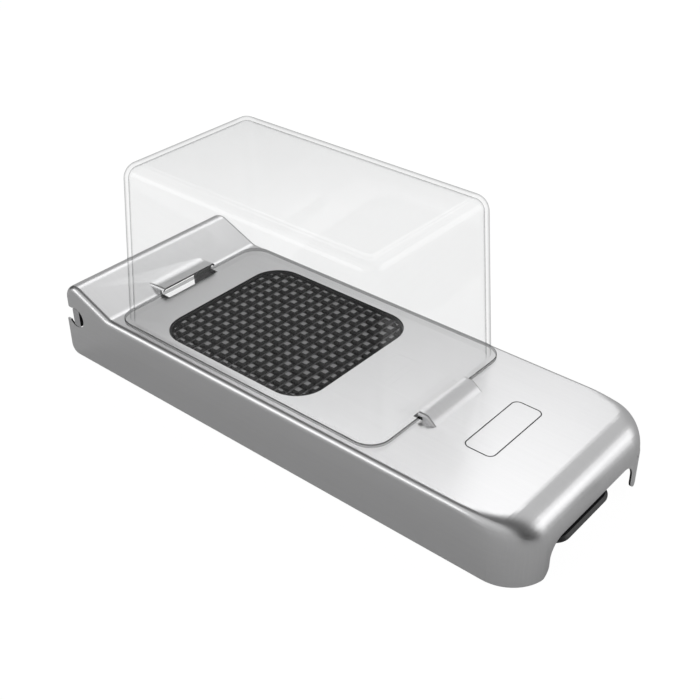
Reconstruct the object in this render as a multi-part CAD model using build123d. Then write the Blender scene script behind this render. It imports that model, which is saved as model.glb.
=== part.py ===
from build123d import *
import math
import os

# A hinged press chopper: a steel press arm carries a blade grid and a clear catcher, and
# closes over a tray whose pegs push the food up through the blades.
# Millimetres. X runs from the hinge to the handle end, Y across, Z up from the table.
# The origin is on the table under the middle of the closed press arm.

# Press arm shell, pressed from one sheet
arm_length = 270.0
arm_width = 103.0
skirt_height = 30.0
table_gap = 1.0
sheet = 0.9
bend_radius = 3.0
corner_radius = 19.0
corner_cut = 0.3
lip_radius = 14.0
lip_edge_height = 16.0
flap_top_radius = 8.0
flap_corner_radius = 5.0
rear_corner_radius = 4.5

# Hump over the hinge
crest_rise = 9.5
crest_radius = 7.5
slope_angle = 23.0
valley_radius = 8.0

# Hinge: a bar with two flats, upright in round pockets that open to the rear
pivot_inset = 7.1
pivot_height = 22.5
bar_radius = 5.0
bar_thickness = 4.7
bar_end_inset = 0.2
pocket_gap = 0.4
entry_below = 2.6
entry_above = 4.8

# Opening over the blades
opening_length = 92.2
opening_side_margin = 10.2
opening_radius = 15.0
opening_x = -33.3

# Louvre clips that hold the catcher's rim
clip_width = 35.0
clip_rise = 3.9
clip_flat = 4.5
clip_length_rear = 11.3
clip_length_front = 9.3
clip_overlap = 1.0
clip_slot_reach = 3.0
clip_edge_radius = 1.6
clip_side_gap = 0.4
catcher_travel = 1.2

# Clear catcher
catcher_length = 155.3
catcher_side_margin = 6.3
catcher_height = 81.7
catcher_x = -20.95
catcher_wall = 2.0
catcher_radius = 8.0
catcher_draft = 3.0
rim_reach = 2.5
rim_thickness = 2.0
rim_edge = 0.4
catcher_seat_gap = 0.05

# Blade grid, in two layers: the long blades stand under the cross blades
columns = 16
rows = 14
grid_end_inset = 0.34
grid_side_inset = -0.14
blade_thickness = 0.4
grid_height = 10.2
layer_gap = 0.1
ground_height = 0.9
blade_drop = 0.9
blade_end_gap = 0.1
tab_length = 2.8
tab_height = 4.0
tab_drop = 3.2

# Blade frame, in two rings that trap the blades' tabs
frame_step = 0.7
frame_flange_x = 9.0
frame_flange_y = 7.0
frame_radius = 6.0
groove_gap = 0.2

# Brackets welded under the top sheet, bent in below the frame to hold it
bracket_width = 10.0
bracket_thickness = 1.0
bracket_weld_reach = 6.0
bracket_hold_reach = 4.0
bracket_gap = 0.1
bracket_y = 28.0

# Pegs
peg_side = 4.2
peg_inset = 2.0
peg_rise = 1.0
smallest_peg_area = 5.0
peg_base_gap = 1.0
block_deck = 2.5
block_wall = 2.0

# Snap hooks under the peg block, through slots in the tray's floor
hook_x = 27.0
hook_width = 6.0
hook_reach = 1.0
hook_length = 2.2
hook_gap = 0.2
hook_flex_room = 1.2

# Tray
tray_gap = 1.3
tray_rear_inset = 14.0
tray_front_inset = 17.0
tray_floor = 3.0
tray_floor_height = 5.0
tray_wall = 2.0
tray_wall_top = 10.0
tray_wall_bottom = 2.0
tray_corner_radius = 8.0
tongue_width = 44.6
tongue_inset = 2.0
tongue_radius = 8.0
tongue_edge = 1.1
rib_thickness = 1.8
rib_y = 18.0
rib_count = 6

# Hinge ears on the tray
ear_side_margin = 19.5
ear_thickness = 6.0
ear_radius = 7.2
ear_rear_reach = 2.5
ear_foot_reach = 20.0
bar_fit_gap = 0.05

# Rubber feet: oblong pads, each with a tongue pushed through the tray's floor
foot_x_inset = 28.0
foot_side_margin = 11.5
foot_length = 14.0
foot_width = 8.0
foot_edge = 0.8
foot_tongue_length = 9.0
foot_tongue_width = 3.0
foot_tongue_gap = 0.05

# Places worked out from the sizes above
skirt_z = table_gap
top_z = table_gap + skirt_height
under_z = top_z - sheet
rear_x = -arm_length / 2
front_x = arm_length / 2
pivot_x = rear_x + pivot_inset
pivot_z = table_gap + pivot_height
crest_x = rear_x + crest_radius
crest_z = top_z + crest_rise - crest_radius
nose_z = pivot_z + entry_above
opening_width = arm_width - 2 * opening_side_margin
pitch_x = (opening_length - 2 * grid_end_inset) / columns
pitch_y = (opening_width - 2 * grid_side_inset) / rows
catcher_width = arm_width - 2 * catcher_side_margin
blade_top = under_z - blade_drop
blade_bottom = blade_top - grid_height
blade_height = (grid_height - layer_gap) / 2
tab_top = blade_top - tab_drop
tab_bottom = tab_top - tab_height
peg_base = blade_bottom - peg_base_gap
peg_top = blade_top + peg_rise
floor_top = tray_floor_height + tray_floor
ear_y = arm_width / 2 - ear_side_margin
foot_x = arm_length / 2 - foot_x_inset
foot_y = arm_width / 2 - foot_side_margin
well_length = opening_length - 2 * frame_step
well_width = opening_width - 2 * frame_step
well_radius = opening_radius - frame_step


def on_side(line):
    """Face from a closed line drawn in X and Z."""
    return make_face(Plane.XZ * line)


def round_rect(length, width, radius):
    """Rounded rectangle in plan, centred."""
    return RectangleRounded(length, width, radius)


def prism(face, low, high):
    """Upright solid on a plan face, between two heights."""
    return extrude(Pos(0, 0, low) * face, amount=high - low)


def point_on_arc(centre, radius, angle):
    """Point at an angle from +X towards +Z."""
    turn = math.radians(angle)
    return (centre[0] + radius * math.cos(turn), centre[1] + radius * math.sin(turn))


# Press arm shell


def side_profile(inset, low):
    """Side outline of the arm, drawn inward by inset: hump, flat top and front lip."""
    rear = rear_x + inset
    front = front_x - inset
    top = top_z - inset
    crest = (crest_x, crest_z)
    radius = crest_radius - inset
    slope_start = point_on_arc(crest, radius, 90 - slope_angle)
    drop = slope_start[1] - top
    valley = (slope_start[0] + drop / math.tan(math.radians(slope_angle)), top)
    lip = (front_x - lip_radius, top_z - lip_radius)
    outline = ThreePointArc((rear, crest_z), point_on_arc(crest, radius, 135), slope_start)
    outline += Polyline(slope_start, valley, (lip[0], top))
    outline += ThreePointArc(
        (lip[0], top), point_on_arc(lip, lip_radius - inset, 45), (front, lip[1])
    )
    outline += Polyline((front, lip[1]), (front, low), (rear, low), (rear, crest_z))
    face = on_side(outline)
    near_valley = face.vertices().sort_by_distance((valley[0], 0, valley[1]))[0]
    return fillet(near_valley, valley_radius + inset)


def arm_body(inset, low):
    """Solid form of the arm, with rounded front corners and bent long edges."""
    form = extrude(side_profile(inset, low), amount=arm_width / 2 - inset, both=True)
    radius = corner_radius - inset
    past_rear = 5.0
    past_front = corner_cut - inset
    blank = Rectangle(arm_length + past_rear + past_front, arm_width - 2 * inset)
    blank = Pos((past_front - past_rear) / 2, 0) * blank
    corners = blank.vertices().group_by(Axis.X)[-1]
    blank = fillet(corners, radius)
    form = form & prism(blank, low, top_z + crest_rise + 1)
    bend = [edge for edge in form.edges() if is_bend(edge)]
    bent = fillet(bend, bend_radius - inset)
    square_heels = form & Pos(rear_x, 0, low) * Box(
        2 * bend_radius, arm_width, 2 * (nose_z - low)
    )
    return bent + square_heels


def is_bend(edge):
    """Whether an edge of the arm's form lies between its top and its sides."""
    middle = edge.center()
    across = abs(middle.Y) > arm_width / 4
    high = middle.Z > top_z - lip_radius / 2
    return across and high


def front_window():
    """Gap in the front skirt under the lip, with the flaps beside it rounded off below."""
    half = arm_width / 2 - corner_radius
    top = skirt_z + lip_edge_height
    face = Pos(0, top / 2) * Rectangle(2 * half, top)
    face = fillet(face.vertices().group_by(Axis.Y)[-1], flap_top_radius)
    flare_top = skirt_z + flap_corner_radius
    flare = Rectangle(flap_corner_radius, flare_top, align=(Align.MIN, Align.MIN))
    flare = flare - Pos(flap_corner_radius, flare_top) * Circle(flap_corner_radius)
    face = face + Pos(half, 0) * flare + Pos(-half, 0) * mirror(flare, Plane.YZ)
    window = extrude(Plane.YZ * face, amount=corner_radius / 2, both=True)
    return Pos(front_x, 0, 0) * window


def pivot_notch():
    """Round pocket with its entry from the rear, cut in both side walls."""
    pocket = Circle(bar_radius + pocket_gap)
    reach = pivot_inset + 1
    entry = Rectangle(reach, entry_above + entry_below)
    entry = Pos(-reach / 2, (entry_above - entry_below) / 2) * entry
    face = Plane.XZ * (pocket + entry)
    cut = extrude(face, amount=arm_width / 2 + 1, both=True)
    core = Box(4 * pivot_inset, arm_width - 4 * sheet, 4 * pivot_inset)
    return Pos(pivot_x, 0, pivot_z) * (cut - core)


def clip(mouth_x, side, length):
    """Louvre clip: the hood to add and the hole to cut. Side is where its root lies."""
    root_x = mouth_x + side * length
    root_z = surface_z(root_x)
    flat_x = mouth_x + side * clip_flat
    top = top_z + clip_rise
    bottom = top_z - sheet
    flat_drop = 0.2
    outline = Polyline(
        (mouth_x, bottom), (mouth_x, top), (flat_x, top - flat_drop),
        (root_x, root_z), (root_x, bottom), (mouth_x, bottom),
    )
    hood = extrude(on_side(outline), amount=clip_width / 2, both=True)
    edges = [e for e in hood.edges().filter_by(Plane.XZ) if e.center().Z > top_z + 1]
    long_edges = [e for e in edges if abs(e.tangent_at(0.5).X) > 0.5]
    hood = fillet(long_edges, clip_edge_radius)
    start_x = mouth_x - side * clip_slot_reach
    end_x = root_x - side * sheet
    end_z = max(root_z - sheet, top_z)
    hole_outline = Polyline(
        (start_x, bottom - 1), (start_x, top - sheet), (mouth_x, top - sheet),
        (flat_x - side * sheet / 2, top - flat_drop - sheet), (end_x, end_z),
        (end_x, bottom - 1), (start_x, bottom - 1),
    )
    hole = extrude(on_side(hole_outline), amount=clip_width / 2 - sheet, both=True)
    rim_room = clip_overlap + catcher_travel + clip_side_gap
    rim_way = Box(2 * rim_room, clip_width + 1, rim_thickness + clip_side_gap)
    rim_way = Pos(mouth_x, 0, top_z + (rim_thickness + clip_side_gap) / 2) * rim_way
    return hood - rim_way, hole


def surface_z(x):
    """Height of the arm's outer top surface at x, clear of its rounded ends."""
    crest = (crest_x, crest_z)
    start = point_on_arc(crest, crest_radius, 90 - slope_angle)
    on_slope = start[1] - (x - start[0]) * math.tan(math.radians(slope_angle))
    return max(top_z, on_slope)


def top_shell():
    body = arm_body(0, skirt_z) - arm_body(sheet, skirt_z - 1)
    rear_gap = Box(2 * bend_radius, arm_width - 2 * sheet, 2 * nose_z)
    body = body - Pos(rear_x, 0, 0) * rear_gap
    body = body - front_window()
    body = body - pivot_notch()
    for mouth_x, side, length in clip_places():
        hood, hole = clip(mouth_x, side, length)
        body = body + hood - hole
    opening = round_rect(opening_length, opening_width, opening_radius)
    body = body - Pos(opening_x, 0) * prism(opening, under_z - 1, top_z + 1)
    return fillet(heel_corners(body), rear_corner_radius)


def heel_corners(body):
    """Edges through the sheet at the lower rear corners of the side walls."""
    low = [e for e in body.edges() if abs(e.center().Z - skirt_z) < sheet / 10]
    through = [e for e in low if e.length < 1.5 * sheet]
    return [e for e in through if e.center().X < -arm_length / 4]


def rim_half():
    """Half the length of the catcher over its rim."""
    return catcher_length / 2 + rim_reach


def clip_places():
    """Mouth, root side and length of the rear and the front clip."""
    rear_mouth = catcher_x - rim_half() + clip_overlap
    front_mouth = catcher_x + rim_half() - clip_overlap
    return ((rear_mouth, -1, clip_length_rear), (front_mouth, 1, clip_length_front))


# Blade frame and blades


def well_face(outset):
    """Plan outline of the frame's well, drawn outward by outset."""
    face = round_rect(well_length + 2 * outset, well_width + 2 * outset, well_radius + outset)
    return Pos(opening_x, 0) * face


def frame_face():
    length = opening_length + 2 * frame_flange_x
    width = opening_width + 2 * frame_flange_y
    return Pos(opening_x, 0) * round_rect(length, width, frame_radius)


def frame_upper():
    return prism(frame_face(), tab_top, under_z) - prism(well_face(0), tab_top - 1, top_z)


def frame_lower():
    ring = prism(frame_face(), blade_bottom, tab_top)
    ring = ring - prism(well_face(0), blade_bottom - 1, top_z)
    return ring - prism(well_face(tab_length + groove_gap), tab_bottom, top_z)


def frame_bracket():
    """Z-shaped strip: a weld flange above, a leg beside the frame and a foot below it."""
    foot_top = blade_bottom - bracket_gap
    foot_low = foot_top - bracket_thickness
    outline = Polyline(
        (-bracket_hold_reach, foot_low), (bracket_thickness, foot_low),
        (bracket_thickness, under_z - bracket_thickness),
        (bracket_weld_reach, under_z - bracket_thickness),
        (bracket_weld_reach, under_z), (0, under_z), (0, foot_top),
        (-bracket_hold_reach, foot_top), (-bracket_hold_reach, foot_low),
    )
    return extrude(on_side(outline), amount=bracket_width / 2, both=True)


def frame_brackets():
    reach = opening_length / 2 + frame_flange_x + bracket_gap
    front = Pos(reach, 0) * frame_bracket()
    rear = mirror(front, Plane.YZ)
    places = [Pos(opening_x, side * bracket_y) for side in (-1, 1)]
    return Compound(children=[place * end for place in places for end in (front, rear)])


def blade_reach(offset, half_along, half_across):
    """Half length of a blade that lies offset from the middle of the rounded well."""
    past = abs(offset) + blade_thickness / 2 - (half_across - well_radius)
    if past <= 0:
        return half_along - blade_end_gap
    bow = math.sqrt(well_radius ** 2 - past ** 2)
    return half_along - well_radius + bow - blade_end_gap


def blade(reach, low):
    """Blade along X, centred, ground to an edge below, with a tab at each end."""
    half = blade_thickness / 2
    section = Polyline(
        (0, low), (half, low + ground_height), (half, low + blade_height),
        (-half, low + blade_height), (-half, low + ground_height), (0, low),
    )
    strip = extrude(make_face(Plane.YZ * section), amount=reach, both=True)
    tab_z = (tab_top + tab_bottom) / 2
    tab = Box(tab_length, blade_thickness, tab_height)
    tab_x = reach + tab_length / 2
    return strip + Pos(-tab_x, 0, tab_z) * tab + Pos(tab_x, 0, tab_z) * tab


def gaps_between(count, pitch):
    """Middles of the gaps between count pegs, measured from the grid's middle."""
    return [(i + 1 - count / 2) * pitch for i in range(count - 1)]


def long_blades():
    """One blade in each gap between the rows of pegs, in the lower layer."""
    blades = []
    for y in gaps_between(rows, pitch_y):
        reach = blade_reach(y, well_length / 2, well_width / 2)
        blades.append(Pos(opening_x, y) * blade(reach, blade_bottom))
    return blades


def cross_blades():
    """One blade in each gap between the columns of pegs, in the upper layer."""
    blades = []
    for x in gaps_between(columns, pitch_x):
        reach = blade_reach(x, well_width / 2, well_length / 2)
        standing = Rot(0, 0, 90) * blade(reach, blade_top - blade_height)
        blades.append(Pos(opening_x + x, 0) * standing)
    return blades


# Catcher


def catcher_body(inset, low):
    """Drafted box with its corners and top edges rounded alike, drawn inward by inset."""
    length = catcher_length - 2 * inset
    width = catcher_width - 2 * inset
    high = top_z + catcher_height - inset
    face = Pos(0, 0, low) * Rectangle(length, width)
    form = extrude(face, amount=high - low, taper=catcher_draft)
    edges = [edge for edge in form.edges() if edge.center().Z > low + 1]
    return fillet(edges, catcher_radius - inset)


def catcher():
    low = top_z + catcher_seat_gap
    box = catcher_body(0, low)
    length = catcher_length + 2 * rim_reach
    width = catcher_width + 2 * rim_reach
    rim = prism(round_rect(length, width, catcher_radius + rim_reach), low, low + rim_thickness)
    rim = chamfer(rim.faces().sort_by(Axis.Z)[-1].edges(), rim_edge)
    rim = chamfer(rim.faces().sort_by(Axis.Z)[0].edges(), rim_edge)
    return Pos(catcher_x, 0) * (box + rim - catcher_body(catcher_wall, low))


# Tray, pegs and what holds them


def hook_places():
    """Middle of each hook's outer face in plan, with the side that it faces."""
    y = opening_width / 2 - peg_inset
    return [(opening_x + i * hook_x, j * y, j) for i in (-1, 1) for j in (-1, 1)]


def snap_hook(side):
    """Leg down through the tray's floor, with a barb that catches under it."""
    barb_top = tray_floor_height - hook_gap / 2
    barb_low = barb_top - hook_length
    outline = Polyline(
        (-block_wall, floor_top), (0, floor_top), (0, barb_top), (hook_reach, barb_top),
        (0, barb_low), (-block_wall, barb_low), (-block_wall, floor_top),
    )
    leg = extrude(make_face(Plane.YZ * outline), amount=hook_width / 2, both=True)
    return leg if side > 0 else mirror(leg, Plane.XZ)


def peg_field(inset):
    """Plan outline round the pegs, drawn inward by inset."""
    shrink = peg_inset + inset
    length = opening_length - 2 * shrink
    width = opening_width - 2 * shrink
    return Pos(opening_x, 0) * round_rect(length, width, opening_radius - shrink)


def peg_block():
    """Hollow block with a grid of square pegs, trimmed at the field's outline."""
    grid = GridLocations(pitch_x, pitch_y, columns, rows)
    squares = [Pos(opening_x, 0) * place * Rectangle(peg_side, peg_side) for place in grid]
    trimmed = [square & peg_field(0) for square in squares]
    faces = [part for part in trimmed if part.area > smallest_peg_area]
    block = prism(peg_field(0), floor_top, peg_base)
    block = block - prism(peg_field(block_wall), floor_top, peg_base - block_deck)
    for x, y, side in hook_places():
        block = block + Pos(x, y) * snap_hook(side)
    pegs = [prism(face, peg_base, peg_top) for face in faces]
    return block.fuse(*pegs)


def foot_places():
    return [(i * foot_x, j * foot_y) for i in (-1, 1) for j in (-1, 1)]


def foot():
    """Oblong rubber pad with its lower edges cut back, and its tongue above."""
    pad = prism(Rectangle(foot_length, foot_width), 0, tray_floor_height)
    pad = chamfer(pad.faces().sort_by(Axis.Z)[0].edges(), foot_edge)
    tongue = Rectangle(foot_tongue_length, foot_tongue_width)
    return pad + prism(tongue, tray_floor_height, floor_top)


def tray_face(inset):
    """Plan outline of the tray, drawn inward by inset."""
    rear = rear_x + tray_rear_inset + inset
    front = front_x - tray_front_inset - inset
    width = arm_width - 2 * (sheet + tray_gap + inset)
    face = Rectangle(front - rear, width)
    front_corners = face.vertices().group_by(Axis.X)[-1]
    face = fillet(front_corners, tray_corner_radius - inset)
    return Pos((front + rear) / 2, 0) * face


def tongue():
    """Finger tab that reaches out under the lip."""
    front = front_x - tongue_inset
    rear = front_x - tray_front_inset - tray_corner_radius
    face = Rectangle(front - rear, tongue_width)
    face = fillet(face.vertices().group_by(Axis.X)[-1], tongue_radius)
    slab = prism(Pos((front + rear) / 2, 0) * face, tray_floor_height, floor_top)
    far = [e for e in slab.edges() if e.center().X > rear + 1]
    edges = [e for e in far if abs(e.tangent_at(0.5).Z) < 0.1]
    return chamfer(edges, tongue_edge)


def bar_face(gap):
    """Section of the hinge bar, grown by gap: a circle with two upright flats."""
    slab = Rectangle(bar_thickness + 2 * gap, 4 * bar_radius)
    return Plane.XZ * (Circle(bar_radius + gap) & slab)


def hinge_ear():
    """Upright ear with a gusset down to the tray's floor."""
    low = tray_floor_height - pivot_z
    high = floor_top - pivot_z
    leg = Polyline(
        (-ear_rear_reach, 0), (-ear_rear_reach, low), (ear_foot_reach, low),
        (ear_foot_reach, high), (ear_radius, 0), (-ear_rear_reach, 0),
    )
    face = make_face(leg) + Circle(ear_radius)
    solid = extrude(Plane.XZ * face, amount=ear_thickness / 2, both=True)
    hole = extrude(bar_face(bar_fit_gap), amount=ear_thickness, both=True)
    return Pos(pivot_x, 0, pivot_z) * (solid - hole)


def base_tray():
    floor = prism(tray_face(0), tray_floor_height, floor_top)
    wall = prism(tray_face(0) - tray_face(tray_wall), tray_wall_bottom, tray_wall_top)
    tray = floor + wall + tongue()
    inner = prism(tray_face(tray_wall / 2), tray_wall_bottom, tray_floor_height)
    for side in (-1, 1):
        long_rib = Box(arm_length, rib_thickness, 2 * tray_floor_height)
        tray = tray + (Pos(0, side * rib_y) * long_rib & inner)
        tray = tray + Pos(0, side * ear_y) * hinge_ear()
    span = arm_length - tray_rear_inset - tray_front_inset
    start = rear_x + tray_rear_inset
    for i in range(rib_count):
        x = start + (i + 1) * span / (rib_count + 1)
        cross_rib = Box(rib_thickness, arm_width, 2 * tray_floor_height)
        tray = tray + (Pos(x, 0) * cross_rib & inner)
    hook_slot_width = block_wall + hook_flex_room + hook_gap
    hook_slot = Box(hook_width + 2 * hook_gap, hook_slot_width, 2 * tray_floor + 1)
    foot_slot = Box(
        foot_tongue_length + 2 * foot_tongue_gap,
        foot_tongue_width + 2 * foot_tongue_gap,
        2 * tray_floor + 1,
    )
    for x, y, side in hook_places():
        slot_y = y + side * (hook_gap - hook_slot_width / 2)
        tray = tray - Pos(x, slot_y, floor_top) * hook_slot
    for x, y in foot_places():
        tray = tray - Pos(x, y, floor_top) * foot_slot
    return tray


def hinge_bar():
    bar = extrude(bar_face(0), amount=arm_width / 2 - bar_end_inset, both=True)
    return Pos(pivot_x, 0, pivot_z) * bar


def parts():
    """Each separate piece, by name."""
    pieces = {
        "top_shell": top_shell(),
        "blade_frame_upper": frame_upper(),
        "blade_frame_lower": frame_lower(),
        "frame_brackets": frame_brackets(),
        "catcher": catcher(),
        "base_tray": base_tray(),
        "peg_block": peg_block(),
        "hinge_bar": hinge_bar(),
    }
    for number, solid in enumerate(long_blades(), 1):
        pieces[f"blade_long_{number:02d}"] = solid
    for number, solid in enumerate(cross_blades(), 1):
        pieces[f"blade_cross_{number:02d}"] = solid
    corners = ("foot_rear_right", "foot_rear_left", "foot_front_right", "foot_front_left")
    for name, (x, y) in zip(corners, foot_places()):
        pieces[name] = Pos(x, y) * foot()
    return pieces


os.makedirs("parts", exist_ok=True)
for name, piece in parts().items():
    export_step(piece, f"parts/{name}.step")
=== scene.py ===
import math

import bpy
from mathutils import Matrix, Vector


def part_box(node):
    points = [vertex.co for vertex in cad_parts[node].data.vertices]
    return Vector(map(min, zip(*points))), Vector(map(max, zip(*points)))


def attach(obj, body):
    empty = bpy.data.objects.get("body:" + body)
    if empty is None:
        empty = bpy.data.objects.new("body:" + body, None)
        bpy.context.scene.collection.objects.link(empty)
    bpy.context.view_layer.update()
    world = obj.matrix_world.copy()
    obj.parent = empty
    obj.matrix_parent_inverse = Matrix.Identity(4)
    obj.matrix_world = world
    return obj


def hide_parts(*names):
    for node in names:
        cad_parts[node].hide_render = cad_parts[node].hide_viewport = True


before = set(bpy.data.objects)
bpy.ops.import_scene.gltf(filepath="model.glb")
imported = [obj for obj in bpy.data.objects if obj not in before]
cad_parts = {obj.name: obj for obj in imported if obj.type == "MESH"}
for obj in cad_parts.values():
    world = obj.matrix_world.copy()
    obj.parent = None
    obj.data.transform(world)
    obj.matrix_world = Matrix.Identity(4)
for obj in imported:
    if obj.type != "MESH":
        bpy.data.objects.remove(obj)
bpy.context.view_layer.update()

bl_info = {
    "name": "Press Chopper",
    "version": (1, 0, 0),
    "blender": (4, 5, 0),
    "location": "View3D > Sidebar > Chopper",
    "description": "Finishes a hinged press chopper with brushed steel and clear plastic",
    "category": "Object",
}

MM = 0.001
LONG_BLADES = 13
CROSS_BLADES = 15

WELD = 0.001 * MM  # corners this near are one corner
SPECK = 0.01 * MM  # slack when places are compared
FLAT = 0.5  # degrees between faces that count as one
SHARP = 40  # degrees that stay a hard edge
SHARP_PEG = 30
STEEP = 0.3  # upward share of the normal of a wall
LEVEL = 0.95  # upward share of the normal of a level face
LINE_HEIGHT = 0.03 * MM

CUTS_ALONG = 20  # strips in the grid over a front corner
CUTS_ACROSS = 12
CUTS_UP = 9

ARM_LINES = 3200.0  # brushing lines per metre
BLADE_LINES = 2200.0
PLAIN_LINES = 900.0
STEEL_TINT = 0.015  # swing of the colour between lines
STEEL_ROUGHNESS = 0.015  # swing of the roughness between lines
MOULD_TINT = 0.15
MOULD_ROUGHNESS = 0.04

# Painted shade: blade steel darkened far below bare steel, for the shade between the pegs.
BLADE_STEEL_PAINTED_SHADE = (0.12, 0.12, 0.122, 1.0)
BAR_STEEL = (0.52, 0.52, 0.53, 1.0)
BLACKENED = (0.03, 0.03, 0.03, 1.0)

LAMP_DISTANCE = 3.0  # metres from the origin
WHITE = 1.06  # glow of the floor where the camera sees it
FLOOR_GLOW = 0.93  # share of that glow in the floor, against its own shade
FLOOR_MIRRORED = 0.13  # part of that share that metal mirrors
BAND_INNER = 0.25  # sideways share of a direction, up to which the dim band is darkest
BAND_OUTER = 0.45  # and where the band ends
BAND_LEVEL = 0.12
DULL_BELOW = 0.35  # upward share of a direction, below which the surround is dullest
BRIGHT_ABOVE = 0.75
HORIZON_LEVEL = 0.62


class ShellProps(bpy.types.PropertyGroup):
    """Sizes and colours of the steel press arm."""

    steel: bpy.props.FloatVectorProperty(
        name="Steel", description="Colour of the brushed sheet", subtype="COLOR",
        size=4, min=0.0, max=1.0, default=(0.62, 0.62, 0.625, 1.0),
    )
    roughness: bpy.props.FloatProperty(
        name="Roughness", description="Mean roughness of the brushed sheet",
        subtype="FACTOR", min=0.0, max=1.0, default=0.30,
    )
    sheet: bpy.props.FloatProperty(
        name="Sheet", description="Thickness of the sheet",
        unit="LENGTH", subtype="DISTANCE", default=0.9 * MM,
    )
    corner: bpy.props.FloatProperty(
        name="Corner", description="Radius of the front corners in plan",
        unit="LENGTH", subtype="DISTANCE", default=19.0 * MM,
    )
    side_bend: bpy.props.FloatProperty(
        name="Side Bend", description="Radius of the bend along the sides",
        unit="LENGTH", subtype="DISTANCE", default=3.0 * MM,
    )
    lip_bend: bpy.props.FloatProperty(
        name="Lip Bend", description="Radius of the bend over the lip",
        unit="LENGTH", subtype="DISTANCE", default=14.0 * MM,
    )
    clip_half: bpy.props.FloatProperty(
        name="Clip Half", description="Half width of the recesses under the clips",
        unit="LENGTH", subtype="DISTANCE", default=17.0 * MM,
    )
    growth: bpy.props.FloatProperty(
        name="Growth", description="How far behind the corner the side bend starts to grow",
        unit="LENGTH", subtype="DISTANCE", default=15.0 * MM,
    )
    deck: bpy.props.FloatProperty(
        name="Deck", description="Height of the flat top", unit="LENGTH",
        subtype="DISTANCE", default=31.0 * MM,
    )
    panel_length: bpy.props.FloatProperty(
        name="Panel Length", description="Size of the etched panel line along the arm",
        unit="LENGTH", subtype="DISTANCE", default=15.0 * MM,
    )
    panel_width: bpy.props.FloatProperty(
        name="Panel Width", description="Size of the etched panel line across the arm",
        unit="LENGTH", subtype="DISTANCE", default=40.0 * MM,
    )
    panel_x: bpy.props.FloatProperty(
        name="Panel Place", description="Middle of the etched panel from the arm's middle",
        unit="LENGTH", subtype="DISTANCE", default=89.5 * MM,
    )
    panel_y: bpy.props.FloatProperty(
        name="Panel Offset", description="Middle of the etched panel across the arm",
        unit="LENGTH", subtype="DISTANCE", default=1.0 * MM,
    )
    panel_radius: bpy.props.FloatProperty(
        name="Panel Corner", description="Corner radius of the etched panel line",
        unit="LENGTH", subtype="DISTANCE", default=3.3 * MM,
    )
    line_width: bpy.props.FloatProperty(
        name="Line Width", description="Width of the etched line",
        unit="LENGTH", subtype="DISTANCE", default=0.55 * MM,
    )


class PlasticProps(bpy.types.PropertyGroup):
    """Colours and edges of the mouldings."""

    black: bpy.props.FloatVectorProperty(
        name="Black", description="Colour of the tray and the blade frame", subtype="COLOR",
        size=4, min=0.0, max=1.0, default=(0.022, 0.022, 0.024, 1.0),
    )
    peg: bpy.props.FloatVectorProperty(
        name="Peg", description="Colour of the pegs' tops", subtype="COLOR",
        size=4, min=0.0, max=1.0, default=(0.22, 0.22, 0.223, 1.0),
    )
    clear: bpy.props.FloatVectorProperty(
        name="Clear", description="Tint of the catcher", subtype="COLOR",
        size=4, min=0.0, max=1.0, default=(0.96, 0.962, 0.962, 1.0),
    )
    # Painted shade: the dark grey that the catcher's walls take where they are seen edge on.
    painted_edge_shade: bpy.props.FloatVectorProperty(
        name="Painted Edge Shade", description="Tint of the catcher seen along its wall",
        subtype="COLOR", size=4, min=0.0, max=1.0, default=(0.25, 0.255, 0.26, 1.0),
    )
    rim: bpy.props.FloatProperty(
        name="Rim", description="Thickness of the catcher's rim",
        unit="LENGTH", subtype="DISTANCE", default=2.0 * MM,
    )
    rubber: bpy.props.FloatVectorProperty(
        name="Rubber", description="Colour of the feet", subtype="COLOR",
        size=4, min=0.0, max=1.0, default=(0.028, 0.028, 0.028, 1.0),
    )
    peg_edge: bpy.props.FloatProperty(
        name="Peg Edge", description="Width of the chamfer round each peg's top",
        unit="LENGTH", subtype="DISTANCE", default=0.85 * MM,
    )


class StudioProps(bpy.types.PropertyGroup):
    """Floor, light and camera."""

    floor: bpy.props.FloatVectorProperty(
        name="Floor", description="Colour of the floor", subtype="COLOR",
        size=4, min=0.0, max=1.0, default=(0.62, 0.62, 0.62, 1.0),
    )
    floor_size: bpy.props.FloatProperty(
        name="Floor Size", description="Side of the floor slab",
        unit="LENGTH", subtype="DISTANCE", default=8.0,
    )
    surround: bpy.props.FloatProperty(
        name="Surround", description="Level of the light from all round", default=1.08,
    )
    camera_place: bpy.props.FloatVectorProperty(
        name="Camera", description="Place of the camera", subtype="TRANSLATION",
        unit="LENGTH", size=3, precision=5, default=(0.28209, -0.32474, 0.32061),
    )
    camera_yaw: bpy.props.FloatProperty(
        name="Yaw", description="Turn of the camera about the upright",
        subtype="ANGLE", unit="ROTATION", default=0.7043,
    )
    camera_pitch: bpy.props.FloatProperty(
        name="Pitch", description="Tilt of the camera below the horizon",
        subtype="ANGLE", unit="ROTATION", default=-0.5902,
    )
    camera_roll: bpy.props.FloatProperty(
        name="Roll", description="Roll of the camera about its view",
        subtype="ANGLE", unit="ROTATION", default=-0.006,
    )
    lens: bpy.props.FloatProperty(
        name="Lens", description="Focal length on a 36 mm wide image",
        subtype="DISTANCE_CAMERA", default=57.996,
    )


# Picking and modelling


def deselect():
    if bpy.context.mode != "OBJECT":
        bpy.ops.object.mode_set(mode="OBJECT")
    bpy.ops.object.select_all(action="DESELECT")


def only(obj):
    """Makes obj the one selected and active object."""
    deselect()
    obj.select_set(True)
    bpy.context.view_layer.objects.active = obj


def edit(obj):
    only(obj)
    bpy.ops.object.mode_set(mode="EDIT")


def done():
    bpy.ops.object.mode_set(mode="OBJECT")


def seat(obj):
    """Puts the object's place, turn and size into its mesh."""
    only(obj)
    bpy.ops.object.transform_apply(location=True, rotation=True, scale=True)


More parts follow.
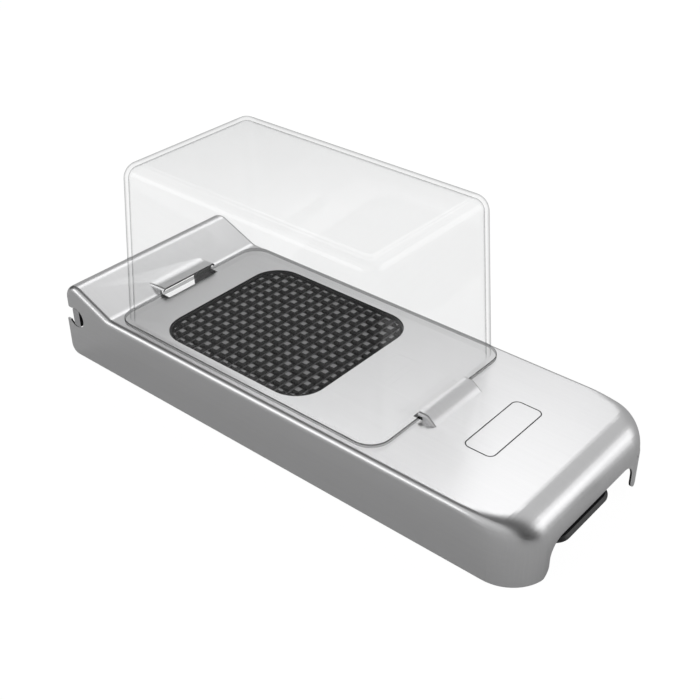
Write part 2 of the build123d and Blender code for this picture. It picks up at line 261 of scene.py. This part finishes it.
def add_modifier(obj, kind, **values):
    only(obj)
    bpy.ops.object.modifier_add(type=kind)
    modifier = obj.modifiers[-1]
    for key, value in values.items():
        setattr(modifier, key, value)
    bpy.ops.object.modifier_apply(modifier=modifier.name)


def smooth(obj, angle):
    only(obj)
    bpy.ops.object.shade_smooth_by_angle(angle=math.radians(angle), keep_sharp_edges=False)


def merged_copy(node, name):
    """A copy of a CAD node's mesh with its loose triangles joined up."""
    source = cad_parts[node]
    mesh = source.data.copy()
    mesh.name = name
    mesh.materials.clear()
    obj = bpy.data.objects.new(name, mesh)
    bpy.context.scene.collection.objects.link(obj)
    only(obj)
    if mesh.has_custom_normals:
        bpy.ops.mesh.customdata_custom_splitnormals_clear()
    edit(obj)
    bpy.ops.mesh.select_all(action="SELECT")
    bpy.ops.mesh.remove_doubles(threshold=WELD)
    bpy.ops.mesh.dissolve_limited(angle_limit=math.radians(FLAT))
    done()
    return obj


def pick_faces(obj, keep):
    """Selects the faces that keep picks by their corners, and starts editing."""
    edit(obj)
    bpy.ops.mesh.select_mode(type="FACE")
    bpy.ops.mesh.select_all(action="DESELECT")
    done()
    for face in obj.data.polygons:
        face.select = keep([obj.data.vertices[i].co for i in face.vertices])
    edit(obj)


def cut_across(axis, places):
    """Cuts all shown faces at planes square to an axis."""
    for place in places:
        point = [0.0, 0.0, 0.0]
        point[axis] = place
        normal = [0.0, 0.0, 0.0]
        normal[axis] = 1.0
        bpy.ops.mesh.select_all(action="SELECT")
        bpy.ops.mesh.bisect(plane_co=point, plane_no=normal)


def steps(low, high, count):
    return [low + (high - low) * i / count for i in range(count + 1)]


def cut_corners(shell, props, start_x, axis_y, low):
    """Cuts both front corners of the arm into a grid, to be bent."""
    top = props.deck
    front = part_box("top_shell")[1].x
    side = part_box("top_shell")[1].y

    def over_front(corners):
        return max(c.x for c in corners) > start_x + SPECK and max(c.z for c in corners) > low

    def over_corner(corners):
        return over_front(corners) and max(abs(c.y) for c in corners) > axis_y + SPECK

    pick_faces(shell, over_front)
    bpy.ops.mesh.hide(unselected=True)
    cut_across(0, [start_x])
    cut_across(1, [-axis_y, axis_y])
    bpy.ops.mesh.reveal(select=False)
    done()
    pick_faces(shell, over_corner)
    bpy.ops.mesh.hide(unselected=True)
    cut_across(0, steps(start_x, front, CUTS_ALONG)[1:-1])
    for turn in (-1, 1):
        cut_across(1, steps(turn * axis_y, turn * side, CUTS_ACROSS)[1:-1])
    cut_across(2, steps(low, top, CUTS_UP)[:-1])
    bpy.ops.mesh.reveal(select=False)
    done()


def growing_bend(shell, props):
    """Lets the bend grow smoothly from the sides, round the front corners, to the lip."""
    top = props.deck
    axis_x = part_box("top_shell")[1].x - props.corner
    axis_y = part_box("top_shell")[1].y - props.corner
    start_x = axis_x - props.growth
    low = top - props.lip_bend
    reach = props.growth + props.corner * math.pi / 2
    cut_corners(shell, props, start_x, axis_y, low)
    for vertex in shell.data.vertices:
        place = vertex.co
        across = abs(place.y) - axis_y
        ahead = max(0.0, place.x - axis_x)
        if place.x < start_x or across < 0 or place.z < low:
            continue
        out = Vector((ahead, math.copysign(across, place.y), 0))
        distance = out.length
        if distance < props.corner / 10:
            continue
        out.normalize()
        # How far round the corner this is: 0 on the side, 1 at the lip.
        angle = math.atan2(across, ahead) if ahead > 0 else math.pi / 2
        run = min(place.x, axis_x) - start_x + props.corner * (math.pi / 2 - angle)
        part = run / reach
        eased = part * part * (3 - 2 * part)
        radius = props.side_bend + (props.lip_bend - props.side_bend) * eased
        inner = vertex.normal.dot(out + Vector((0, 0, 1))) < 0
        sheet = props.sheet if inner else 0.0
        along = distance - (props.corner - radius)
        up = place.z - (top - radius)
        if along <= 0:
            place.z = top - sheet
        elif up > 0:
            scale = (radius - sheet) / math.hypot(along, up)
            moved = props.corner - radius + along * scale
            place.z = top - radius + up * scale
            place.x += out.x * (moved - distance)
            place.y += out.y * (moved - distance)


def even_shading(obj, angle):
    smooth(obj, angle)
    add_modifier(obj, "WEIGHTED_NORMAL", mode="FACE_AREA", weight=50, keep_sharp=True)


def stand_for(obj, node, body, material):
    """Rides the piece on its body in place of a CAD node."""
    obj.data.materials.clear()
    obj.data.materials.append(material)
    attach(obj, body)
    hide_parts(node)


def finish_node(node, material):
    """Gives a CAD node its finish."""
    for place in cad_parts[node].material_slots:
        place.material = material


# Shared effects


def new_group(name, inputs, outputs):
    group = bpy.data.node_groups.new(name, "ShaderNodeTree")
    for label, value in inputs:
        socket = group.interface.new_socket(
            name=label, in_out="INPUT", socket_type="NodeSocketFloat"
        )
        socket.default_value = value
    for label in outputs:
        group.interface.new_socket(
            name=label, in_out="OUTPUT", socket_type="NodeSocketFloat"
        )
    start = group.nodes.new("NodeGroupInput")
    end = group.nodes.new("NodeGroupOutput")
    return group, start, end


def math_node(tree, operation, first, second=None):
    """A Math node fed by sockets or numbers."""
    node = tree.nodes.new("ShaderNodeMath")
    node.operation = operation
    for index, value in enumerate((first, second)):
        if value is None:
            continue
        if isinstance(value, (int, float)):
            node.inputs[index].default_value = value
        else:
            tree.links.new(value, node.inputs[index])
    return node.outputs[0]


def spread(tree, value, low, high, to_low, to_high, soft=False):
    """Maps a value from one range to another."""
    node = tree.nodes.new("ShaderNodeMapRange")
    node.interpolation_type = "SMOOTHSTEP" if soft else "LINEAR"
    tree.links.new(value, node.inputs["Value"])
    node.inputs["From Min"].default_value = low
    node.inputs["From Max"].default_value = high
    node.inputs["To Min"].default_value = to_low
    node.inputs["To Max"].default_value = to_high
    return node.outputs["Result"]


def noise(tree, vector, scale, detail, roughness=0.5):
    node = tree.nodes.new("ShaderNodeTexNoise")
    node.inputs["Scale"].default_value = scale
    node.inputs["Detail"].default_value = detail
    node.inputs["Roughness"].default_value = roughness
    tree.links.new(vector, node.inputs["Vector"])
    return node.outputs["Fac"]


def joined(tree, x, y, z):
    node = tree.nodes.new("ShaderNodeCombineXYZ")
    for index, value in enumerate((x, y, z)):
        if isinstance(value, (int, float)):
            node.inputs[index].default_value = value
        else:
            tree.links.new(value, node.inputs[index])
    return node.outputs[0]


def brushing():
    """Lines drawn along X: across the top by Y, and down the sides by Z."""
    group, start, end = new_group(
        "brushing", (("Lines per Metre", PLAIN_LINES), ("Stretch", 0.02)), ("Fine", "Broad")
    )
    place = group.nodes.new("ShaderNodeTexCoord")
    along = group.nodes.new("ShaderNodeSeparateXYZ")
    group.links.new(place.outputs["Object"], along.inputs[0])
    facing = group.nodes.new("ShaderNodeSeparateXYZ")
    group.links.new(place.outputs["Normal"], facing.inputs[0])
    sideways = math_node(group, "ABSOLUTE", facing.outputs["Y"])
    # 0 on the top and the ends, 1 on the sides
    side = spread(group, sideways, 0.55, 0.85, 0.0, 1.0, soft=True)
    across = group.nodes.new("ShaderNodeMix")
    group.links.new(side, across.inputs["Factor"])
    group.links.new(along.outputs["Y"], across.inputs["A"])
    group.links.new(along.outputs["Z"], across.inputs["B"])
    lines = start.outputs["Lines per Metre"]
    run = math_node(group, "MULTIPLY", along.outputs["X"], start.outputs["Stretch"])
    for label, share, detail in (("Fine", 1.0, 3.0), ("Broad", 0.16, 2.0)):
        scale = math_node(group, "MULTIPLY", lines, share)
        first = math_node(group, "MULTIPLY", run, scale)
        second = math_node(group, "MULTIPLY", across.outputs["Result"], scale)
        third = math_node(group, "MULTIPLY", side, 7.0)
        value = noise(group, joined(group, first, second, third), 1.0, detail, 0.6)
        group.links.new(value, end.inputs[label])
    return group


def mould_skin():
    """Fine pebble of a textured mould, with slow cloudy wear."""
    group, start, end = new_group(
        "mould_skin", (("Grains per Metre", 1600.0),), ("Pebble", "Cloud")
    )
    place = group.nodes.new("ShaderNodeTexCoord")
    # A node of its own, because its scale comes from the group's input.
    fine = group.nodes.new("ShaderNodeTexNoise")
    fine.inputs["Detail"].default_value = 2.0
    group.links.new(place.outputs["Object"], fine.inputs["Vector"])
    group.links.new(start.outputs["Grains per Metre"], fine.inputs["Scale"])
    group.links.new(fine.outputs["Fac"], end.inputs["Pebble"])
    cloud = noise(group, place.outputs["Object"], 45.0, 3.0)
    group.links.new(cloud, end.inputs["Cloud"])
    return group


def shared(name, build):
    """The node group of that name, built once."""
    return bpy.data.node_groups.get(name) or build()


# Finishes


def new_material(name):
    material = bpy.data.materials.new(name)
    material.use_nodes = True
    tree = material.node_tree
    shader = next(n for n in tree.nodes if n.type == "BSDF_PRINCIPLED")
    return material, tree, shader


def place_group(tree, group, **values):
    node = tree.nodes.new("ShaderNodeGroup")
    node.node_tree = group
    for key, value in values.items():
        node.inputs[key.replace("_", " ")].default_value = value
    return node


def tinted(tree, factor, dark, light):
    """Colour between two tints by a factor."""
    node = tree.nodes.new("ShaderNodeMix")
    node.data_type = "RGBA"
    tree.links.new(factor, node.inputs["Factor"])
    node.inputs[6].default_value = dark
    node.inputs[7].default_value = light
    return node.outputs[2]


def shade(colour, level):
    return (colour[0] * level, colour[1] * level, colour[2] * level, 1.0)


def bumped(tree, shader, height, strength, distance):
    bump = tree.nodes.new("ShaderNodeBump")
    bump.inputs["Strength"].default_value = strength
    bump.inputs["Distance"].default_value = distance
    tree.links.new(height, bump.inputs["Height"])
    tree.links.new(bump.outputs["Normal"], shader.inputs["Normal"])


def brushed_steel(name, colour, roughness, lines, anisotropy):
    """Sheet steel drawn over a belt along X."""
    material, tree, shader = new_material(name)
    shader.inputs["Metallic"].default_value = 1.0
    shader.inputs["Anisotropic"].default_value = anisotropy
    grain = place_group(tree, shared("brushing", brushing), Lines_per_Metre=lines)
    mixed = math_node(tree, "ADD", grain.outputs["Fine"], grain.outputs["Broad"])
    tint = spread(tree, mixed, 0.75, 1.25, 0.0, 1.0)
    base = tinted(tree, tint, shade(colour, 1 - STEEL_TINT), shade(colour, 1 + STEEL_TINT))
    tree.links.new(base, shader.inputs["Base Color"])
    rough = spread(
        tree, grain.outputs["Fine"], 0.3, 0.7,
        roughness - STEEL_ROUGHNESS, roughness + STEEL_ROUGHNESS,
    )
    tree.links.new(rough, shader.inputs["Roughness"])
    bumped(tree, shader, grain.outputs["Fine"], 0.06, 0.01 * MM)
    around = tree.nodes.new("ShaderNodeTangent")
    around.direction_type = "RADIAL"
    around.axis = "X"
    tree.links.new(around.outputs["Tangent"], shader.inputs["Tangent"])
    return material


def moulded(name, colour, roughness, grains):
    """Opaque moulded plastic or rubber with a fine skin."""
    material, tree, shader = new_material(name)
    skin = place_group(tree, shared("mould_skin", mould_skin), Grains_per_Metre=grains)
    cloud = skin.outputs["Cloud"]
    base = tinted(tree, cloud, shade(colour, 1 - MOULD_TINT), shade(colour, 1 + MOULD_TINT))
    tree.links.new(base, shader.inputs["Base Color"])
    rough = spread(
        tree, cloud, 0.3, 0.7, roughness - MOULD_ROUGHNESS, roughness + MOULD_ROUGHNESS
    )
    tree.links.new(rough, shader.inputs["Roughness"])
    bumped(tree, shader, skin.outputs["Pebble"], 0.2, 0.03 * MM)
    return material


def clear_plastic(name, colour, edge):
    """Clear moulded plastic, with a painted shade where it is seen along its wall.

    Light and reflections pass straight through it, so that the steel inside is lit as
    it is outside.
    """
    material, tree, shader = new_material(name)
    shader.inputs["Transmission Weight"].default_value = 1.0
    # Next to that of air, so that what is behind a thin wall isn't shifted.
    shader.inputs["IOR"].default_value = 1.001
    shader.inputs["Roughness"].default_value = 0.0
    shader.inputs["Coat Weight"].default_value = 0.4
    shader.inputs["Coat Roughness"].default_value = 0.0
    shader.inputs["Coat IOR"].default_value = 1.5
    skin = place_group(tree, shared("mould_skin", mould_skin), Grains_per_Metre=300.0)
    clouded = tinted(tree, skin.outputs["Cloud"], shade(colour, 0.99), shade(colour, 1.01))
    # Painted shade: the base colour turns to the edge colour where the wall is seen at a grazing
    # angle.
    rim = tree.nodes.new("ShaderNodeLayerWeight")
    rim.inputs["Blend"].default_value = 0.5
    grazing = spread(tree, rim.outputs["Facing"], 0.55, 1.0, 0.0, 1.0)
    base = tree.nodes.new("ShaderNodeMix")
    base.data_type = "RGBA"
    tree.links.new(grazing, base.inputs["Factor"])
    tree.links.new(clouded, base.inputs[6])
    base.inputs[7].default_value = edge
    tree.links.new(base.outputs[2], shader.inputs["Base Color"])
    path = tree.nodes.new("ShaderNodeLightPath")
    mirrored = math_node(
        tree, "SUBTRACT", path.outputs["Is Glossy Ray"], path.outputs["Is Transmission Ray"]
    )
    bounced = math_node(tree, "MAXIMUM", mirrored, path.outputs["Is Diffuse Ray"])
    bounced = math_node(tree, "MAXIMUM", bounced, path.outputs["Is Shadow Ray"])
    through = tree.nodes.new("ShaderNodeBsdfTransparent")
    through.inputs["Color"].default_value = (0.94, 0.94, 0.94, 1.0)
    mix = tree.nodes.new("ShaderNodeMixShader")
    tree.links.new(bounced, mix.inputs["Fac"])
    tree.links.new(shader.outputs["BSDF"], mix.inputs[1])
    tree.links.new(through.outputs["BSDF"], mix.inputs[2])
    out = next(n for n in tree.nodes if n.type == "OUTPUT_MATERIAL")
    tree.links.new(mix.outputs["Shader"], out.inputs["Surface"])
    return material


# Operators


class CHOPPER_OT_arm_shell(bpy.types.Operator):
    """Brushed sheet steel press arm, with a bend that grows round its front corners"""

    bl_idname = "chopper.arm_shell"
    bl_label = "Arm Shell"

    def execute(self, context):
        props = context.scene.chopper_shell
        shell = merged_copy("top_shell", "arm_shell")
        growing_bend(shell, props)
        even_shading(shell, SHARP)
        steel = brushed_steel("brushed_sheet", props.steel, props.roughness, ARM_LINES, 0.45)
        stand_for(shell, "top_shell", "press_arm", steel)
        # Painted shade: the inside of the arm gets its steel darkened to 8 percent, for the
        # shadow under the sheet.
        painted_inner_shade = shade(props.steel, 0.08)
        shell.data.materials.append(
            brushed_steel("inner_sheet_painted_shade", painted_inner_shade, 0.6, PLAIN_LINES, 0.0)
        )
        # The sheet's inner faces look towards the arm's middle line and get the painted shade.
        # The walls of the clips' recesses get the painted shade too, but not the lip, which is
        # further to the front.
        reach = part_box("top_shell")[1].x - props.corner * 2
        over_deck = props.deck + props.sheet * 1.5
        for face in shell.data.polygons:
            place = face.center.copy()
            recess = abs(place.y) < props.clip_half and place.z < over_deck
            place.x -= max(-reach, min(reach, place.x))
            inner = face.normal.dot(place) < -props.sheet / 10
            wall = abs(face.normal.z) < STEEP
            if inner or (recess and wall and place.x < props.corner):
                face.material_index = 1
        return {"FINISHED"}


class CHOPPER_OT_panel_line(bpy.types.Operator):
    """Fine etched line round a bare panel near the handle end"""

    bl_idname = "chopper.panel_line"
    bl_label = "Panel Line"

    def execute(self, context):
        props = context.scene.chopper_shell
        deselect()
        bpy.ops.mesh.primitive_plane_add(
            size=1.0, location=(props.panel_x, props.panel_y, props.deck)
        )
        line = bpy.context.object
        line.name = "panel_line"
        line.scale = (props.panel_length, props.panel_width, 1.0)
        seat(line)
        edit(line)
        bpy.ops.mesh.select_all(action="SELECT")
        bpy.ops.mesh.bevel(
            affect="VERTICES", offset=props.panel_radius, segments=8, offset_type="OFFSET"
        )
        bpy.ops.mesh.select_all(action="SELECT")
        bpy.ops.mesh.inset(thickness=props.line_width, use_boundary=True)
        bpy.ops.mesh.delete(type="FACE")
        bpy.ops.mesh.select_all(action="SELECT")
        bpy.ops.mesh.extrude_region_move(
            TRANSFORM_OT_translate={"value": (0, 0, LINE_HEIGHT)}
        )
        bpy.ops.mesh.select_all(action="SELECT")
        bpy.ops.mesh.normals_make_consistent(inside=False)
        done()
        etched = moulded("etched_line", BLACKENED, 0.5, 2500.0)
        line.data.materials.append(etched)
        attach(line, "press_arm")
        return {"FINISHED"}


class CHOPPER_OT_catcher(bpy.types.Operator):
    """Clear moulded box that catches the dice"""

    bl_idname = "chopper.catcher"
    bl_label = "Catcher"

    def execute(self, context):
        props = context.scene.chopper_plastic
        box = merged_copy("catcher", "clear_catcher")
        even_shading(box, SHARP)
        clear = clear_plastic("clear_plastic_finish", props.clear, props.painted_edge_shade)
        stand_for(box, "catcher", "collector", clear)
        # Painted shade: the rim's outer side and sloping edge take the clear tint darkened to a
        # quarter and to 3 percent.
        box.data.materials.append(
            clear_plastic("clear_rim_side_painted_shade", shade(props.clear, 0.25), props.painted_edge_shade)
        )
        box.data.materials.append(
            clear_plastic("clear_rim_edge_painted_shade", shade(props.clear, 0.03), props.painted_edge_shade)
        )
        low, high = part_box("catcher")
        middle = (low + high) / 2
        below_top = low.z + props.rim - 2 * SPECK
        # Round the outside of the rim, its side gets a painted shade and its sloping edge the
        # darkest painted shade.
        for face in box.data.polygons:
            if face.center.z > below_top or abs(face.normal.z) > LEVEL:
                continue
            out_x = face.normal.x * (face.center.x - middle.x)
            out_y = face.normal.y * face.center.y
            if out_x + out_y > 0:
                face.material_index = 2 if face.normal.z > STEEP else 1
        return {"FINISHED"}


class CHOPPER_OT_peg_block(bpy.types.Operator):
    """Block of square pegs with chamfered tops"""

    bl_idname = "chopper.peg_block"
    bl_label = "Peg Block"

    def execute(self, context):
        props = context.scene.chopper_plastic
        block = merged_copy("peg_block", "pegs")
        near_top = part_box("peg_block")[1].z - SPECK
        pick_faces(block, lambda corners: min(c.z for c in corners) > near_top)
        bpy.ops.mesh.dissolve_faces()
        bpy.ops.mesh.inset(thickness=props.peg_edge, use_individual=False)
        done()
        crown = {i for f in block.data.polygons if f.select for i in f.vertices}
        for vertex in block.data.vertices:
            if vertex.co.z > near_top and vertex.index not in crown:
                vertex.co.z -= props.peg_edge
        even_shading(block, SHARP_PEG)
        # Painted shade: the pegs' sides take the peg colour at about one percent, for the shade
        # in the gaps between them; the tops keep the peg colour.
        dark = moulded("peg_side_painted_shade", shade(props.peg, 0.012), 0.7, 1800.0)
        stand_for(block, "peg_block", "base", dark)
        block.data.materials.append(moulded("peg_top_finish", props.peg, 0.34, 1800.0))
        for face in block.data.polygons:
            if face.center.z > near_top:
                face.material_index = 1
        return {"FINISHED"}


class CHOPPER_OT_blades(bpy.types.Operator):
    """Ground steel on both layers of blades, darkened as painted shade of the gaps between the
    pegs
    """

    bl_idname = "chopper.blades"
    bl_label = "Blades"

    def execute(self, context):
        ground = brushed_steel("ground_strip_painted_shade", BLADE_STEEL_PAINTED_SHADE, 0.35, BLADE_LINES, 0.4)
        for number in range(1, LONG_BLADES + 1):
            finish_node(f"blade_long_{number:02d}", ground)
        for number in range(1, CROSS_BLADES + 1):
            finish_node(f"blade_cross_{number:02d}", ground)
        return {"FINISHED"}


class CHOPPER_OT_mouldings(bpy.types.Operator):
    """Black tray and blade frame"""

    bl_idname = "chopper.mouldings"
    bl_label = "Tray and Blade Frame"

    def execute(self, context):
        props = context.scene.chopper_plastic
        frame_black = moulded("frame_black", props.black, 0.5, 1500.0)
        tray_black = moulded("tray_black", shade(props.black, 1.3), 0.42, 1300.0)
        made = (
            ("blade_frame_upper", "blade_frame_cap", "press_arm", frame_black, "frame_plastic"),
            ("blade_frame_lower", "blade_frame_seat", "press_arm", frame_black, "frame_plastic"),
            ("base_tray", "tray", "base", tray_black, "tray_plastic"),
        )
        for node, name, body, material, slot in made:
            obj = merged_copy(node, name)
            even_shading(obj, SHARP)
            stand_for(obj, node, body, material)
        return {"FINISHED"}


class CHOPPER_OT_hardware(bpy.types.Operator):
    """Steel hinge bar and frame brackets"""

    bl_idname = "chopper.hardware"
    bl_label = "Hinge Bar and Brackets"

    def execute(self, context):
        drawn = brushed_steel("drawn_bar", BAR_STEEL, 0.3, PLAIN_LINES, 0.2)
        black = brushed_steel("blackened_strip", BLACKENED, 0.6, PLAIN_LINES, 0.0)
        finish_node("hinge_bar", drawn)
        finish_node("frame_brackets", black)
        return {"FINISHED"}


class CHOPPER_OT_feet(bpy.types.Operator):
    """Rubber feet"""

    bl_idname = "chopper.feet"
    bl_label = "Feet"

    def execute(self, context):
        props = context.scene.chopper_plastic
        rubber = moulded("rubber_finish", props.rubber, 0.8, 900.0)
        for node in ("foot_rear_right", "foot_rear_left", "foot_front_right", "foot_front_left"):
            finish_node(node, rubber)
        return {"FINISHED"}


def seen_white(tree, surface, share, glossy):
    """Mixes the pale background's white into what the camera, glass and metal see."""
    path = tree.nodes.new("ShaderNodeLightPath")
    seen = math_node(
        tree, "MAXIMUM", path.outputs["Is Camera Ray"], path.outputs["Is Transmission Ray"]
    )
    shiny = math_node(tree, "MULTIPLY", path.outputs["Is Glossy Ray"], glossy)
    seen = math_node(tree, "MAXIMUM", seen, shiny)
    glow = tree.nodes.new("ShaderNodeEmission")
    glow.inputs["Strength"].default_value = WHITE
    both = tree.nodes.new("ShaderNodeMixShader")
    amount = math_node(tree, "MULTIPLY", seen, share)
    tree.links.new(amount, both.inputs["Fac"])
    tree.links.new(surface, both.inputs[1])
    tree.links.new(glow.outputs["Emission"], both.inputs[2])
    return both.outputs["Shader"]


def make_floor(props):
    deselect()
    bpy.ops.mesh.primitive_plane_add(size=props.floor_size, location=(0, 0, 0))
    floor = bpy.context.object
    floor.name = "floor"
    edit(floor)
    bpy.ops.mesh.select_all(action="SELECT")
    bpy.ops.mesh.bevel(affect="VERTICES", offset=props.floor_size / 5, segments=12)
    done()
    material, tree, shader = new_material("pale_floor")
    shader.inputs["Roughness"].default_value = 0.9
    shader.inputs["Specular IOR Level"].default_value = 0.1
    place = tree.nodes.new("ShaderNodeTexCoord")
    cloud = noise(tree, place.outputs["Object"], 3.0, 2.0)
    base = tinted(tree, cloud, shade(props.floor, 0.995), shade(props.floor, 1.005))
    tree.links.new(base, shader.inputs["Base Color"])
    out = next(n for n in tree.nodes if n.type == "OUTPUT_MATERIAL")
    surface = seen_white(tree, shader.outputs["BSDF"], FLOOR_GLOW, FLOOR_MIRRORED)
    tree.links.new(surface, out.inputs["Surface"])
    floor.data.materials.append(material)


def make_world(props):
    """Pale and even to the camera and through clear plastic, and a soft surround else.

    The surround is dim in a band overhead along the arm, which draws the dark line on
    its side bends, and duller towards the horizon.
    """
    world = bpy.data.worlds.new("studio")
    bpy.context.scene.world = world
    world.use_nodes = True
    tree = world.node_tree
    tree.nodes.clear()
    place = tree.nodes.new("ShaderNodeTexCoord")
    heading = tree.nodes.new("ShaderNodeSeparateXYZ")
    tree.links.new(place.outputs["Generated"], heading.inputs[0])
    sideways = math_node(tree, "ABSOLUTE", heading.outputs["Y"])
    dim = spread(tree, sideways, BAND_INNER, BAND_OUTER, BAND_LEVEL, 1.0, soft=True)
    rise = spread(
        tree, heading.outputs["Z"], DULL_BELOW, BRIGHT_ABOVE, HORIZON_LEVEL, 1.0, soft=True
    )
    level = math_node(tree, "MULTIPLY", dim, rise)
    level = math_node(tree, "MULTIPLY", level, props.surround)
    path = tree.nodes.new("ShaderNodeLightPath")
    seen = math_node(
        tree, "MAXIMUM", path.outputs["Is Camera Ray"], path.outputs["Is Transmission Ray"]
    )
    strength = tree.nodes.new("ShaderNodeMix")
    tree.links.new(seen, strength.inputs["Factor"])
    tree.links.new(level, strength.inputs["A"])
    strength.inputs["B"].default_value = 1.0
    sky = tree.nodes.new("ShaderNodeBackground")
    tree.links.new(strength.outputs["Result"], sky.inputs["Strength"])
    out = tree.nodes.new("ShaderNodeOutputWorld")
    tree.links.new(sky.outputs["Background"], out.inputs["Surface"])


def softbox(name, direction, width, height, level):
    """Area lamp that faces the object, of the given brightness as a reflection."""
    lamp = bpy.data.lights.new(name, "AREA")
    lamp.shape = "RECTANGLE"
    lamp.size = width
    lamp.size_y = height
    lamp.energy = math.pi * width * height * level
    obj = bpy.data.objects.new(name, lamp)
    bpy.context.scene.collection.objects.link(obj)
    way = Vector(direction).normalized()
    obj.location = way * LAMP_DISTANCE
    obj.rotation_euler = way.to_track_quat("Z", "Y").to_euler()


class CHOPPER_OT_stage(bpy.types.Operator):
    """Pale floor, soft boxes and the camera"""

    bl_idname = "chopper.stage"
    bl_label = "Stage"

    def execute(self, context):
        props = context.scene.chopper_studio
        make_floor(props)
        make_world(props)
        softbox("rear_box", (-0.42, 0.55, 0.72), 1.6, 1.0, 1.45)
        softbox("right_box", (0.66, 0.63, 0.38), 2.0, 1.3, 1.35)
        softbox("left_box", (-0.54, -0.72, 0.42), 2.2, 1.0, 1.8)
        camera = bpy.data.cameras.new("camera")
        camera.sensor_width = 36.0
        camera.lens = props.lens
        camera.clip_start = 0.01
        obj = bpy.data.objects.new("camera", camera)
        bpy.context.scene.collection.objects.link(obj)
        turn = (
            Matrix.Rotation(props.camera_yaw, 4, "Z")
            @ Matrix.Rotation(math.pi / 2 + props.camera_pitch, 4, "X")
            @ Matrix.Rotation(props.camera_roll, 4, "Z")
        )
        obj.matrix_world = Matrix.Translation(props.camera_place) @ turn
        context.scene.camera = obj
        context.scene.view_settings.view_transform = "Standard"
        return {"FINISHED"}


class CHOPPER_PT_sidebar(bpy.types.Panel):
    """Lists the pieces in the order they are made"""

    bl_idname = "CHOPPER_PT_sidebar"
    bl_label = "Press Chopper"
    bl_space_type = "VIEW_3D"
    bl_region_type = "UI"
    bl_category = "Chopper"

    def draw(self, context):
        layout = self.layout
        for group in (
            context.scene.chopper_shell,
            context.scene.chopper_plastic,
            context.scene.chopper_studio,
        ):
            box = layout.box()
            for key in group.__annotations__:
                box.prop(group, key)
        for operator in OPERATORS:
            layout.operator(operator.bl_idname)


GROUPS = (ShellProps, PlasticProps, StudioProps)
OPERATORS = (
    CHOPPER_OT_arm_shell,
    CHOPPER_OT_panel_line,
    CHOPPER_OT_catcher,
    CHOPPER_OT_peg_block,
    CHOPPER_OT_blades,
    CHOPPER_OT_mouldings,
    CHOPPER_OT_hardware,
    CHOPPER_OT_feet,
    CHOPPER_OT_stage,
)


def register():
    for item in (*GROUPS, *OPERATORS, CHOPPER_PT_sidebar):
        bpy.utils.register_class(item)
    scene = bpy.types.Scene
    scene.chopper_shell = bpy.props.PointerProperty(type=ShellProps)
    scene.chopper_plastic = bpy.props.PointerProperty(type=PlasticProps)
    scene.chopper_studio = bpy.props.PointerProperty(type=StudioProps)


def unregister():
    scene = bpy.types.Scene
    del scene.chopper_studio
    del scene.chopper_plastic
    del scene.chopper_shell
    for item in reversed((*GROUPS, *OPERATORS, CHOPPER_PT_sidebar)):
        bpy.utils.unregister_class(item)


def main():
    register()
    bpy.ops.chopper.arm_shell()
    bpy.ops.chopper.panel_line()
    bpy.ops.chopper.catcher()
    bpy.ops.chopper.peg_block()
    bpy.ops.chopper.blades()
    bpy.ops.chopper.mouldings()
    bpy.ops.chopper.hardware()
    bpy.ops.chopper.feet()
    bpy.ops.chopper.stage()


if __name__ == "__main__":
    main()
